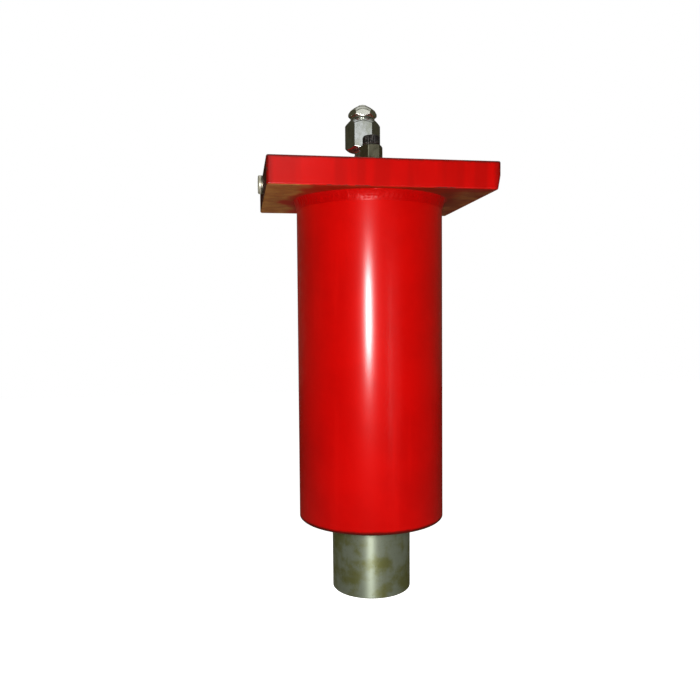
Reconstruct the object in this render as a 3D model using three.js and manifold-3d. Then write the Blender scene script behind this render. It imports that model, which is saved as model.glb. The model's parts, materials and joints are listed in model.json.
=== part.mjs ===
// Telescopic hydraulic cylinder, hanging from a rectangular flange plate.
//
// Millimetres, +Z up. The origin is the centre of the ram's free end face, so the plunger stands on
// z = 0 and the fittings are at the top. X runs along the long side of the flange plate. All the
// sliding pieces are drawn fully retracted. Concentric pieces share one segment count and phase, so
// the gap between them is the same all the way round.

import * as THREE from 'three';
import { mergeVertices } from 'three/addons/utils/BufferGeometryUtils.js';
import Module from 'manifold-3d';

const wasm = await Module();
wasm.setup();

// ---------------------------------------------------------------- driving dimensions

const GAP = 0.25; // clearance kept between neighbouring pieces

const BARREL_END_Z = 70; // lower end of the barrel, above the ram's end face
const FLANGE_UNDER_Z = 375;
const FLANGE_THICK = 25;
const FLANGE_LENGTH = 204; // along X, apart from the lean
const FLANGE_WIDTH = 158; // along Y
const FLANGE_CHAMFER = 1.5;
const FLANGE_CORNER_R = 2.5; // in plan
const END_LEAN = [-1, 1.25]; // the torch-cut +X end leans out, from its lower edge to half way up
const FLANGE_TOP_Z = FLANGE_UNDER_Z + FLANGE_THICK;

const TUBE_SOCKET_DEPTH = 4; // how far the barrel enters the plate
const TUBE_TOP_Z = FLANGE_UNDER_Z + TUBE_SOCKET_DEPTH - GAP;

const BARREL_R = 70;
const BARREL_BORE_R = 59;
const STAGE_R = 50;
const STAGE_BORE_R = 42.5;
const PLUNGER_R = 38;
const RAM_CHAMFER = 0.8; // on the plunger's free end
const STAGE_END_Z = 68; // the intermediate stage shows 2 mm below the barrel

const BARREL_THREAD_R = 61.75; // outside of the barrel's screwed gland
const STAGE_THREAD_R = 46.75; // outside of the intermediate stage's screwed gland
const GLAND_HEIGHT = 42;

const STROKE = 220; // of each stage
const SNAP_THICK = 2.5;
const BEARING_TOP_Z = 370;

const SPIGOT_R = 62.5; // the barrel's turned-down top end, located in the plate
const BEVEL = BARREL_R - SPIGOT_R; // 45-degree weld preparation on the barrel
const BEVEL_Z = 366;
const WELD_TOE_R = 72.25;
const WELD_RECESS_DEPTH = 0.5;

const SPOT_FACE_DEPTH = 0.5; // the two top fittings sit on spot faces
const FITTING_SEAT_Z = FLANGE_TOP_Z - SPOT_FACE_DEPTH;
const COUPLER_AT = [-3.5, 13.25];
const COUPLER_SPOT_R = 14;
const COUPLER_HEX = 30; // across flats
const COUPLER_HEX_TURN = 22.5; // degrees
const COLLAR_HEX = 24.5;
const ADAPTER_HEX = 22;
const BLEED_AT = [-1, -18];
const BLEED_SPOT_R = 12.5;
const BLEED_HEX = 19;
const BLEED_HEX_TURN = -27; // degrees
const SIDE_PORT_Z = 389.5;
const TAPPED_HOLE_AT = [82, 59];
const TAPPED_HOLE_R = 5.125;
const TAPPED_HOLE_DEPTH = 18;
const LOCK_SCREW_Z = BARREL_END_Z + 13;

const ROUND = 28; // segments of the tubes, glands and rings
const FINE = 20; // segments of the fittings
const SMALL = 12; // segments of small holes and screws

// ---------------------------------------------------------------- solids

// A closed manifold from a three.js geometry, whichever way its faces were wound.
function solidOf(geometry) {
  const bare = geometry.clone();
  bare.deleteAttribute('normal');
  bare.deleteAttribute('uv');
  const merged = mergeVertices(bare, 1e-3);
  const xyz = merged.attributes.position;
  const index = merged.index.array;
  const corners = [new THREE.Vector3(), new THREE.Vector3(), new THREE.Vector3()];
  const triangles = [];
  let volume = 0;
  for (let i = 0; i < index.length; i += 3) {
    const [a, b, c] = [index[i], index[i + 1], index[i + 2]];
    if (a === b || b === c || c === a) continue;
    triangles.push(a, b, c);
    [a, b, c].forEach((v, k) => corners[k].fromBufferAttribute(xyz, v));
    volume += corners[0].dot(corners[1].cross(corners[2]));
  }
  if (volume < 0) {
    for (let i = 0; i < triangles.length; i += 3) {
      [triangles[i + 1], triangles[i + 2]] = [triangles[i + 2], triangles[i + 1]];
    }
  }
  return new wasm.Manifold(
    new wasm.Mesh({
      numProp: 3,
      vertProperties: new Float32Array(xyz.array),
      triVerts: new Uint32Array(triangles),
    }),
  );
}

function geometryOf(solid) {
  const mesh = solid.getMesh();
  const geometry = new THREE.BufferGeometry();
  geometry.setAttribute('position', new THREE.BufferAttribute(mesh.vertProperties, 3));
  geometry.setIndex(new THREE.BufferAttribute(mesh.triVerts, 1));
  geometry.computeVertexNormals();
  return geometry;
}

// A turned solid about Z. The profile is a list of [radius, z]: one that leaves the axis and comes
// back to it makes a solid, and any other is closed on itself and makes a ring.
function turned(profile, segments) {
  const points = profile.map(([r, z]) => new THREE.Vector2(r, z));
  const onAxis = profile[0][0] === 0 && profile[profile.length - 1][0] === 0;
  if (!onAxis) points.push(points[0].clone());
  return solidOf(new THREE.LatheGeometry(points, segments).rotateX(Math.PI / 2));
}

function rod(radius, z0, z1, segments, [x, y] = [0, 0]) {
  const height = z1 - z0;
  const geometry = new THREE.CylinderGeometry(radius, radius, height, segments);
  return solidOf(geometry.rotateX(Math.PI / 2).translate(x, y, z0 + height / 2));
}

function polygon(points) {
  return new THREE.Shape(points.map(([x, y]) => new THREE.Vector2(x, y)));
}

function prism(points, z0, z1) {
  const options = { depth: z1 - z0, bevelEnabled: false };
  return solidOf(new THREE.ExtrudeGeometry(polygon(points), options).translate(0, 0, z0));
}

function hexPrism(acrossFlats, z0, z1, turnDegrees = 0) {
  const corners = [];
  for (let i = 0; i < 6; i += 1) {
    const angle = THREE.MathUtils.degToRad(30 + 60 * i + turnDegrees);
    const radius = acrossFlats / Math.sqrt(3);
    corners.push([radius * Math.cos(angle), radius * Math.sin(angle)]);
  }
  return prism(corners, z0, z1);
}

function block([x0, y0, z0], [x1, y1, z1]) {
  const geometry = new THREE.BoxGeometry(x1 - x0, y1 - y0, z1 - z0);
  return solidOf(geometry.translate((x0 + x1) / 2, (y0 + y1) / 2, (z0 + z1) / 2));
}

const cut = (solid, ...tools) => tools.reduce((left, tool) => left.subtract(tool), solid);

// ---------------------------------------------------------------- materials

const finish = (color, roughness, metalness) => ({ color, roughness, metalness });
const RED_PAINT = finish(0xcf0d08, 0.35, 0.0);
const BARE_STEEL = finish(0x7d7f78, 0.45, 1.0);
const CHROME = finish(0xc9ccc9, 0.15, 1.0);
const NICKEL = finish(0xb9b8a6, 0.25, 1.0);
const BLACK_STEEL = finish(0x1d1c1a, 0.45, 0.8);
const BRONZE = finish(0xa9793c, 0.4, 1.0);
const SPRING_STEEL = finish(0x55585c, 0.35, 1.0);
const RUBBER = finish(0x151515, 0.7, 0.0);
const POLYURETHANE = finish(0x2f5fa8, 0.5, 0.0);
const PHENOLIC = finish(0x8b5a2b, 0.6, 0.0);

function piece(name, solid, look) {
  const mesh = new THREE.Mesh(geometryOf(solid), new THREE.MeshStandardMaterial(look));
  mesh.name = name;
  return mesh;
}

function groupOf(name, ...members) {
  const group = new THREE.Group();
  group.name = name;
  group.add(...members);
  return group;
}

// ---------------------------------------------------------------- flange plate and barrel

// A slab with slightly round corners in plan, then trimmed to the section of its torch-cut end.
function plateBlank() {
  const [c, r] = [FLANGE_CHAMFER, FLANGE_CORNER_R];
  const [left, right, y] = [-FLANGE_LENGTH / 2, FLANGE_LENGTH / 2, FLANGE_WIDTH / 2];
  const [leanLow, leanHigh] = END_LEAN;
  const outline = new THREE.Shape();
  outline.absarc(right + leanHigh - r, r - y, r, -Math.PI / 2, 0);
  outline.absarc(right + leanHigh - r, y - r, r, 0, Math.PI / 2);
  outline.absarc(left + r, y - r, r, Math.PI / 2, Math.PI);
  outline.absarc(left + r, r - y, r, Math.PI, 1.5 * Math.PI);
  const slab = new THREE.ExtrudeGeometry(outline, {
    depth: FLANGE_THICK - 2 * c,
    curveSegments: 2,
    bevelSegments: 1,
    bevelSize: c,
    bevelThickness: c,
    bevelOffset: -c,
  });
  const [low, leaned, high] = [-1, FLANGE_THICK / 2, FLANGE_THICK + 1];
  const section = polygon([
    [left - 1, low], [right + leanLow - c, low], [right + leanLow - c, 0], [right + leanLow, c],
    [right + leanHigh, leaned], [right + leanHigh + 1, high], [left - 1, high],
  ]);
  const depth = FLANGE_WIDTH + 2;
  const ends = new THREE.ExtrudeGeometry(section, { depth, bevelEnabled: false });
  return solidOf(slab.translate(0, 0, FLANGE_UNDER_Z + c)).intersect(
    solidOf(ends.rotateX(Math.PI / 2).translate(0, depth / 2, FLANGE_UNDER_Z)),
  );
}

function sideBore(radius, x0, x1, segments) {
  const geometry = new THREE.CylinderGeometry(radius, radius, x1 - x0, segments);
  return solidOf(geometry.rotateZ(Math.PI / 2).translate((x0 + x1) / 2, 0, SIDE_PORT_Z));
}

function flangePlate() {
  const under = FLANGE_UNDER_Z;
  const top = FLANGE_TOP_Z;
  const chamberTop = under + 11.5;
  const holes = [
    rod(WELD_TOE_R + GAP, under - 1, under + WELD_RECESS_DEPTH, ROUND),
    rod(SPIGOT_R + GAP, under, under + TUBE_SOCKET_DEPTH, ROUND),
    rod(24, under + 2, chamberTop, FINE), // oil chamber above the plunger
    rod(COUPLER_SPOT_R, FITTING_SEAT_Z, top + 1, FINE, COUPLER_AT),
    rod(BLEED_SPOT_R, FITTING_SEAT_Z, top + 1, FINE, BLEED_AT),
    rod(6.75, top - 12, top + 1, FINE, COUPLER_AT),
    rod(3.5, chamberTop - 1, top - 11, SMALL, COUPLER_AT),
    rod(5.25, top - 12, top + 1, FINE, BLEED_AT),
    rod(2.5, chamberTop - 1, top - 11, SMALL, BLEED_AT),
    sideBore(6.75, -FLANGE_LENGTH / 2 - 1, -FLANGE_LENGTH / 2 + 13, FINE),
    sideBore(3.5, -FLANGE_LENGTH / 2 + 12, -20, SMALL),
  ];
  for (const sx of [-1, 1]) {
    for (const sy of [-1, 1]) {
      const at = [sx * TAPPED_HOLE_AT[0], sy * TAPPED_HOLE_AT[1]];
      holes.push(rod(TAPPED_HOLE_R, top - TAPPED_HOLE_DEPTH, top + 1, SMALL, at));
    }
  }
  return cut(plateBlank(), ...holes);
}

// The weld fills the bevel and stands slightly proud of the barrel.
function barrelWeld() {
  const inner = SPIGOT_R + GAP;
  const root = BEVEL_Z + 1.5 * GAP;
  const top = FLANGE_UNDER_Z + WELD_RECESS_DEPTH - GAP;
  return turned(
    [
      [BARREL_R, root],
      [BARREL_R + 0.5, root + 2],
      [BARREL_R + 1, root + 5],
      [WELD_TOE_R, top],
      [inner, top],
      [inner, root + BARREL_R - inner],
    ],
    ROUND,
  );
}

// A tube whose lower end is counterbored and threaded for a gland.
function glandedTube(outerR, boreR, threadR, z0, z1) {
  const seat = z0 + GLAND_HEIGHT + GAP;
  return [
    [outerR - 2, z0],
    [outerR, z0 + 2],
    [outerR, z1],
    [boreR, z1],
    [boreR, seat],
    [threadR + GAP, seat],
    [threadR + GAP, z0],
  ];
}

// A radial hole towards +Y at the lock screw's height.
function lockScrewHole(y0, y1) {
  const geometry = new THREE.CylinderGeometry(4.25, 4.25, y1 - y0, SMALL);
  return solidOf(geometry.translate(0, (y0 + y1) / 2, LOCK_SCREW_Z));
}

function barrelTube() {
  const profile = glandedTube(BARREL_R, BARREL_BORE_R, BARREL_THREAD_R, BARREL_END_Z, TUBE_TOP_Z);
  profile.splice(2, 1, [BARREL_R, BEVEL_Z], [SPIGOT_R, BEVEL_Z + BEVEL], [SPIGOT_R, TUBE_TOP_Z]);
  return cut(turned(profile, ROUND), lockScrewHole(58, 72));
}

function lockScrew() {
  const body = turned([[0, -9.5], [2.5, -9.5], [4, -8], [4, -1.5], [3.5, -1], [0, -1]], SMALL);
  return body.subtract(hexPrism(4, -5, 0));
}

// ---------------------------------------------------------------- glands and their seals
// Each set is drawn from the gland's lower face up, around a rod of radius rodR.

function gland(rodR, threadR, z0) {
  const bore = rodR + 0.5;
  const profile = [
    [threadR - 1, 0], [threadR, 1],
    [threadR, 31], [threadR - 3, 31], [threadR - 3, 35], [threadR, 35],
    [threadR, GLAND_HEIGHT], [bore, GLAND_HEIGHT],
    [bore, 38], [rodR + 3, 38], [rodR + 3, 28], [bore, 28],
    [bore, 24], [rodR + 5.5, 24], [rodR + 5.5, 16], [bore, 16],
    [bore, 10], [rodR + 5, 10], [rodR + 5, 4.5], [rodR + 2.5, 4.5],
    [rodR + 2.5, 0],
  ];
  const middle = (rodR + 3 + threadR) / 2;
  const spannerHoles = [-1, 1].map((side) => rod(2, z0 - 1, z0 + 4, SMALL, [side * middle, 0]));
  return cut(turned(profile.map(([r, z]) => [r, z + z0]), ROUND), ...spannerHoles);
}

const ringAround = (rodR, z0, profile) => turned(profile.map(([r, z]) => [r + rodR, z + z0]), ROUND);

const wiper = (rodR, z0) =>
  ringAround(rodR, z0, [
    [0.25, 1.5], [1.25, 1.5], [2.25, 4.75], [4.75, 4.75], [4.75, 9.75], [1, 9.75],
  ]);

const rodSeal = (rodR, z0) =>
  ringAround(rodR, z0, [
    [0.25, 16.25], [5.25, 16.25], [5.25, 23.75], [4, 23.75],
    [2.75, 19.5], [1.5, 23.75], [0.25, 23.75],
  ]);

const guideRing = (rodR, z0) =>
  ringAround(rodR, z0, [[0.25, 28.25], [2.75, 28.25], [2.75, 37.75], [0.25, 37.75]]);

function oRing(threadR, z0) {
  const profile = [];
  for (let i = 0; i < 6; i += 1) {
    const angle = (i * Math.PI) / 3;
    profile.push([-1.375 + 1.375 * Math.cos(angle), 33 + 1.375 * Math.sin(angle)]);
  }
  return ringAround(threadR, z0, profile);
}

// ---------------------------------------------------------------- sliding pieces

const BARREL_GLAND_TOP_Z = BARREL_END_Z + GLAND_HEIGHT;
const STAGE_GLAND_TOP_Z = STAGE_END_Z + GLAND_HEIGHT;
const STAGE_SNAP_Z = BARREL_GLAND_TOP_Z + GAP + STROKE; // lower snap ring of each piston end
const PLUNGER_SNAP_Z = STAGE_GLAND_TOP_Z + GAP + STROKE;
const UPPER_SNAP_Z = BEARING_TOP_Z + 2 * GAP;

// The two snap-ring grooves above and below a bearing, as profile points from the bottom up.
function snapGrooves(rodR, lowerZ) {
  return [lowerZ, UPPER_SNAP_Z].flatMap((z) => [
    [rodR, z - GAP],
    [rodR - 2, z - GAP],
    [rodR - 2, z + SNAP_THICK + GAP],
    [rodR, z + SNAP_THICK + GAP],
  ]);
}

function snapRing(rodR, outerR, z) {
  const inner = rodR - 2 + GAP;
  const top = z + SNAP_THICK;
  const ring = turned([[inner, z], [outerR, z], [outerR, top], [inner, top]], ROUND);
  return ring.subtract(block([-5, 0, z - 1], [5, outerR + 2, top + 1]));
}

function bearing(rodR, boreR, lowerSnapZ) {
  const z0 = lowerSnapZ + SNAP_THICK + 2 * GAP;
  const [inner, outer] = [rodR + GAP, boreR - 2 * GAP];
  const [g0, g1] = [z0 + 11, z0 + 23];
  return turned(
    [
      [inner, z0], [outer - 1, z0], [outer, z0 + 1],
      [outer, g0], [outer - 1.75, g0], [outer - 1.75, g1], [outer, g1],
      [outer, BEARING_TOP_Z], [inner, BEARING_TOP_Z],
    ],
    ROUND,
  );
}

function wearRing(boreR, lowerSnapZ) {
  const z0 = lowerSnapZ + SNAP_THICK + 3 * GAP + 11;
  const z1 = z0 + 12 - 2 * GAP;
  const [inner, outer] = [boreR - 2, boreR - GAP];
  return turned([[inner, z0], [outer, z0], [outer, z1], [inner, z1]], ROUND);
}

function stageTube() {
  const profile = glandedTube(STAGE_R, STAGE_BORE_R, STAGE_THREAD_R, STAGE_END_Z, TUBE_TOP_Z);
  profile.splice(2, 0, ...snapGrooves(STAGE_R, STAGE_SNAP_Z));
  return turned(profile, ROUND);
}

function plungerRod() {
  return turned(
    [
      [0, 0], [PLUNGER_R - RAM_CHAMFER, 0], [PLUNGER_R, RAM_CHAMFER],
      ...snapGrooves(PLUNGER_R, PLUNGER_SNAP_Z),
      [PLUNGER_R, TUBE_TOP_Z - 1.5], [PLUNGER_R - 1.5, TUBE_TOP_Z], [0, TUBE_TOP_Z],
    ],
    ROUND,
  );
}

// ---------------------------------------------------------------- fittings
// The coupler and the bleed valve are drawn from their spot faces up, the side plug from the face of
// the plate outwards.

const washer = (innerR, outerR, thick) =>
  turned([[innerR, GAP], [outerR, GAP], [outerR, GAP + thick], [innerR, GAP + thick]], FINE);

function couplerAdapter() {
  const corner = ADAPTER_HEX / Math.sqrt(3);
  const body = turned(
    [
      [3.5, -11], [6, -11], [6.5, -10.5], [6.5, 2.25], [corner - 1.5, 2.25], [corner, 3.25],
      [corner, 16.75], [corner - 1.75, 18], [8.5, 18], [8.5, 27.25],
      [8.25, 27.25], [8.25, 37.75], [3.5, 37.75],
    ],
    FINE,
  );
  return body.intersect(hexPrism(ADAPTER_HEX, -13, 38, COUPLER_HEX_TURN));
}

function couplerBody() {
  const corner = COUPLER_HEX / Math.sqrt(3);
  const body = turned(
    [
      [8.5, 27.5], [corner - 3, 27.5], [corner, 29.5], [corner, 51],
      [12, 57], [12, 59.5], [14.25, 60.5], [14.25, 63], [12.25, 66], [8.5, 68.75],
      [5.75, 69.75], [5.75, 56.25], [8, 54], [8, 38], [8.5, 38],
    ],
    FINE,
  );
  const collar = hexPrism(COLLAR_HEX, 58, 71, COUPLER_HEX_TURN);
  return body.intersect(hexPrism(COUPLER_HEX, 27, 58, COUPLER_HEX_TURN).add(collar));
}

function couplerPoppet() {
  return turned(
    [
      [0, 35.75], [1.5, 35.75], [2, 36.25], [2, 49.75], [7.5, 49.75], [7.5, 54.125], [5.25, 56.375],
      [5.25, 70], [4.25, 71], [2.25, 71.75], [0, 72],
    ],
    FINE,
  );
}

// An open-coiled compression spring about the poppet's tail.
function couplerSpring() {
  const [turns, stepsPerTurn, coilR, wireR] = [4, 12, 4.5, 0.55];
  const [z0, z1] = [41.5, 48.75];
  const points = [];
  for (let i = 0; i <= turns * stepsPerTurn; i += 1) {
    const angle = (2 * Math.PI * i) / stepsPerTurn;
    const z = z0 + ((z1 - z0) * i) / (turns * stepsPerTurn);
    points.push(new THREE.Vector3(coilR * Math.cos(angle), coilR * Math.sin(angle), z));
  }
  const section = [];
  for (let i = 0; i < 6; i += 1) {
    const angle = (i * Math.PI) / 3;
    section.push([wireR * Math.cos(angle), wireR * Math.sin(angle)]);
  }
  const extrudePath = new THREE.CatmullRomCurve3(points);
  const options = { steps: turns * stepsPerTurn, bevelEnabled: false, extrudePath };
  return solidOf(new THREE.ExtrudeGeometry(polygon(section), options));
}

// A perforated disc that the spring stands on, clamped above the adapter's end.
function couplerSpringSeat() {
  const disc = turned([[2.5, 38.25], [7.75, 38.25], [7.75, 40.5], [2.5, 40.5]], FINE);
  const flowHoles = [90, 210, 330].map((degrees) => {
    const angle = THREE.MathUtils.degToRad(degrees);
    return rod(1.5, 38, 41, 8, [5.1 * Math.cos(angle), 5.1 * Math.sin(angle)]);
  });
  return cut(disc, ...flowHoles);
}

function bleedBody() {
  const corner = BLEED_HEX / Math.sqrt(3);
  const body = turned(
    [
      [1.25, -11], [4.5, -11], [5, -10.5], [5, 2.25], [corner - 1.25, 2.25], [corner, 3],
      [corner, 23.5], [corner - 1.5, 24.75], [3.25, 24.75], [3.25, 10], [1.25, 8],
    ],
    FINE,
  );
  return body.intersect(hexPrism(BLEED_HEX, -12, 26, BLEED_HEX_TURN));
}

// The needle's knurled head is a star-shaped prism with its rims turned off.
function bleedScrew() {
  const [headR, teeth, z0, z1] = [8.25, 20, 25.25, 34];
  const outline = [];
  for (let i = 0; i < 2 * teeth; i += 1) {
    const angle = (i * Math.PI) / teeth;
    const radius = i % 2 ? headR - 0.5 : headR;
    outline.push([radius * Math.cos(angle), radius * Math.sin(angle)]);
  }
  const rims = turned(
    [[0, z0], [headR - 0.75, z0], [9, z0 + 1.5], [9, z1 - 1.5], [headR - 0.75, z1], [0, z1]],
    FINE,
  );
  const shank = turned([[0, 8.125], [1, 8.125], [3, 10.125], [3, z0 + 1], [0, z0 + 1]], FINE);
  const slot = block([-9, -0.875, z1 - 2], [9, 0.875, z1 + 1]);
  return prism(outline, z0, z1).intersect(rims).add(shank).subtract(slot);
}

function sidePlug() {
  const body = turned(
    [[0, -11], [5.75, -11], [6.25, -10.5], [6.25, 1.75], [8.75, 1.75], [8.75, 4], [8, 4.5], [0, 4.5]],
    FINE,
  );
  return body.subtract(hexPrism(6, -1, 5));
}

// ---------------------------------------------------------------- assembly

const coupler = groupOf(
  'coupler',
  piece('coupler_seal_washer', washer(7, 11, 1.75), BARE_STEEL),
  piece('coupler_adapter', couplerAdapter(), NICKEL),
  piece('coupler_body', couplerBody(), NICKEL),
  piece('coupler_spring_seat', couplerSpringSeat(), BARE_STEEL),
  piece('coupler_spring', couplerSpring(), SPRING_STEEL),
  piece('coupler_poppet', couplerPoppet(), CHROME),
);
coupler.position.set(...COUPLER_AT, FITTING_SEAT_Z);

const bleedValve = groupOf(
  'bleed_valve',
  piece('bleed_seal_washer', washer(5.5, 9, 1.75), BARE_STEEL),
  piece('bleed_valve_body', bleedBody(), NICKEL),
  piece('bleed_screw', bleedScrew(), BLACK_STEEL),
);
bleedValve.position.set(...BLEED_AT, FITTING_SEAT_Z);

const sidePort = groupOf(
  'side_port',
  piece('side_plug_washer', washer(6.75, 8.75, 1.25), BARE_STEEL),
  piece('side_plug', sidePlug(), NICKEL),
);
sidePort.rotation.y = -Math.PI / 2;
sidePort.position.set(-FLANGE_LENGTH / 2, 0, SIDE_PORT_Z);

const glandLockScrew = piece('gland_lock_screw', lockScrew(), BLACK_STEEL);
glandLockScrew.rotation.x = -Math.PI / 2;
glandLockScrew.position.set(0, BARREL_R, LOCK_SCREW_Z);

const barrelGland = gland(STAGE_R, BARREL_THREAD_R, BARREL_END_Z).subtract(lockScrewHole(60, 64));
const barrelAssembly = groupOf(
  'barrel_assembly',
  piece('flange_plate', flangePlate(), RED_PAINT),
  piece('barrel_weld', barrelWeld(), RED_PAINT),
  piece('barrel_tube', barrelTube(), RED_PAINT),
  piece('barrel_gland', barrelGland, BARE_STEEL),
  piece('barrel_wiper', wiper(STAGE_R, BARREL_END_Z), POLYURETHANE),
  piece('barrel_rod_seal', rodSeal(STAGE_R, BARREL_END_Z), RUBBER),
  piece('barrel_guide_ring', guideRing(STAGE_R, BARREL_END_Z), PHENOLIC),
  piece('barrel_gland_o_ring', oRing(BARREL_THREAD_R, BARREL_END_Z), RUBBER),
  glandLockScrew,
  coupler,
  bleedValve,
  sidePort,
);

const stageOne = groupOf(
  'stage_one',
  piece('stage_one_tube', stageTube(), CHROME),
  piece('stage_one_gland', gland(PLUNGER_R, STAGE_THREAD_R, STAGE_END_Z), BARE_STEEL),
  piece('stage_one_wiper', wiper(PLUNGER_R, STAGE_END_Z), POLYURETHANE),
  piece('stage_one_rod_seal', rodSeal(PLUNGER_R, STAGE_END_Z), RUBBER),
  piece('stage_one_guide_ring', guideRing(PLUNGER_R, STAGE_END_Z), PHENOLIC),
  piece('stage_one_gland_o_ring', oRing(STAGE_THREAD_R, STAGE_END_Z), RUBBER),
  piece('stage_one_bearing', bearing(STAGE_R, BARREL_BORE_R, STAGE_SNAP_Z), BRONZE),
  piece('stage_one_wear_ring', wearRing(BARREL_BORE_R, STAGE_SNAP_Z), PHENOLIC),
  piece('stage_one_lower_snap_ring', snapRing(STAGE_R, 54.5, STAGE_SNAP_Z), SPRING_STEEL),
  piece('stage_one_upper_snap_ring', snapRing(STAGE_R, 54.5, UPPER_SNAP_Z), SPRING_STEEL),
);

const plunger = groupOf(
  'plunger_assembly',
  piece('plunger', plungerRod(), CHROME),
  piece('plunger_bearing', bearing(PLUNGER_R, STAGE_BORE_R, PLUNGER_SNAP_Z), BRONZE),
  piece('plunger_wear_ring', wearRing(STAGE_BORE_R, PLUNGER_SNAP_Z), PHENOLIC),
  piece('plunger_lower_snap_ring', snapRing(PLUNGER_R, 41, PLUNGER_SNAP_Z), SPRING_STEEL),
  piece('plunger_upper_snap_ring', snapRing(PLUNGER_R, 41, UPPER_SNAP_Z), SPRING_STEEL),
);

const cylinder = groupOf('telescopic_cylinder', barrelAssembly, stageOne, plunger);

export default cylinder;
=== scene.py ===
"""Looks of a telescopic hydraulic cylinder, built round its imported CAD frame.

Profiles and positions are in millimetres until a mesh is made, and in metres after that. Every
piece is a smooth, rounded version of the CAD node it replaces and rides on that node's body.
"""
import json
from math import asin, ceil, cos, pi, radians, sin, tan

import bmesh
import bpy
from mathutils import Matrix, Vector, noise


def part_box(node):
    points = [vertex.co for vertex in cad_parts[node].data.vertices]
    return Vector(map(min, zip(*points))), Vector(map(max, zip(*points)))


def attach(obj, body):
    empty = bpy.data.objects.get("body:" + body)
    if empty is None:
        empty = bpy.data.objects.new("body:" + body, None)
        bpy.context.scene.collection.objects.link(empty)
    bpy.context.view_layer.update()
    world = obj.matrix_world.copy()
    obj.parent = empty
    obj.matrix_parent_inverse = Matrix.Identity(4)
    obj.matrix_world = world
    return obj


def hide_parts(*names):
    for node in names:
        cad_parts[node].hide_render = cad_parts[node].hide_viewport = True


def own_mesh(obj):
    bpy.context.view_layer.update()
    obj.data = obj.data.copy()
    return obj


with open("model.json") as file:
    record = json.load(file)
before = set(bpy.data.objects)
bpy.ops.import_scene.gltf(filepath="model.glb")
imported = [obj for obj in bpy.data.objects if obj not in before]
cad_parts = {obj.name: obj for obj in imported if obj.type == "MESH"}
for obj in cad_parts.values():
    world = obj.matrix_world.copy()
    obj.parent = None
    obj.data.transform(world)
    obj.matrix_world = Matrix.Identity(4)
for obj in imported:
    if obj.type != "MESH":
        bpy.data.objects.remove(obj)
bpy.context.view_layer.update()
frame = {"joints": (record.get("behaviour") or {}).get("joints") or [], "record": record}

MM = 0.001
BODY_OF = {
    node: body
    for body, members in frame["record"]["behaviour"]["bodies"].items()
    for node in members
}
JOINTS = {joint["name"]: joint for joint in frame["joints"]}


def corners(node):
    """A CAD node's lowest and highest corners, in millimetres."""
    low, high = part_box(node)
    return low / MM, high / MM


# ---------- sizes

GAP = 0.25  # the clearance that the CAD keeps between neighbours
PLATE_LOW, PLATE_HIGH = corners("flange_plate")
BARREL_LOW, BARREL_HIGH = corners("barrel_tube")
STAGE_LOW, STAGE_HIGH = corners("stage_one_tube")
RAM_LOW, RAM_HIGH = corners("plunger")
PLATE_MIDDLE, PLATE_HALF = (PLATE_LOW + PLATE_HIGH) / 2, (PLATE_HIGH - PLATE_LOW) / 2
UNDER_Z, TOP_Z = PLATE_LOW.z, PLATE_HIGH.z
BARREL_R, STAGE_R, RAM_R = BARREL_HIGH.x, STAGE_HIGH.x, RAM_HIGH.x
BARREL_BORE_R = corners("stage_one_wear_ring")[1].x + GAP
STAGE_BORE_R = corners("plunger_wear_ring")[1].x + GAP
BARREL_THREAD_R = corners("barrel_gland")[1].x
STAGE_THREAD_R = corners("stage_one_gland")[1].x
GLAND_HEIGHT = corners("barrel_gland")[1].z - corners("barrel_gland")[0].z
WELD_LOW_Z = corners("barrel_weld")[0].z
STAGE_SNAP_Z = corners("stage_one_lower_snap_ring")[0].z
PLUNGER_SNAP_Z = corners("plunger_lower_snap_ring")[0].z
UPPER_SNAP_Z = corners("plunger_upper_snap_ring")[0].z
BEARING_TOP_Z = corners("plunger_bearing")[1].z
SNAP_THICK = 2.5
SNAP_GROOVE_DEPTH = 2
RAM_CHAMFER = 0.8  # at its free end
SIDE_FACE_X = PLATE_LOW.x
PLATE_CORNER_R = 2.5  # in plan
PLATE_RIM_R = 1.4
END_LEAN = (-1.0, 1.25)  # of the +X end, at its lower edge and from half way up
SPIGOT_R = 62.5  # the barrel's neck, which sits in the plate's socket
SOCKET_R, SOCKET_DEPTH = SPIGOT_R + GAP, 4
CHAMBER_R, CHAMBER_DEPTH = 24, 11.5  # the oil space above the barrel, from the underside up
WELD_BEVEL = (9, 1.5)  # where the barrel's bevel starts and ends, below the underside
RIPPLE_PITCH = 4.4

# Grooves in both glands: upper and lower height above the gland's lower face, and depth
GUIDE_GROOVE, ROD_SEAL_GROOVE, WIPER_GROOVE = (38, 28, 3), (24, 16, 5.5), (10, 4.5, 5)
O_RING_GROOVE = (35, 31, 3)
O_RING_WIRE_R = 1.4
PIN_HOLE_R, PIN_HOLE_DEPTH = 2.0, 4


def centre_of(node):
    low, high = corners(node)
    return (low + high) / 2


SEAT_Z = corners("coupler_seal_washer")[0].z - GAP  # the spot faces that the top fittings sit on
COUPLER_AT = centre_of("coupler_seal_washer").xy
BLEED_AT = centre_of("bleed_seal_washer").xy
SIDE_PORT = centre_of("side_plug_washer")
LOCK_SCREW_Z = centre_of("gland_lock_screw").z
COUPLER_HEX, COLLAR_HEX, ADAPTER_HEX, BLEED_HEX = 30, 24.5, 22, 19  # across flats
COLLAR_FROM = 58  # height above the spot face
COUPLER_HEX_TURN = 22.5  # degrees about the fitting's own axis
BLEED_HEX_TURN = -27.0
COUPLER_THREAD_R, BLEED_THREAD_R, PLUG_THREAD_R = 6.5, 5.0, 6.25
PIPE_PITCH = 1.34  # nineteen turns to the inch
COUPLER_SPOT_R, BLEED_SPOT_R = 14, 12.5  # the spot faces under the fittings
PORT_DEPTH, SIDE_PORT_DEPTH = 12, 13
POPPET_TIP = corners("coupler_poppet")[1].z - SEAT_Z
SCREW_TOP = corners("bleed_screw")[1].z - SEAT_Z
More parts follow.
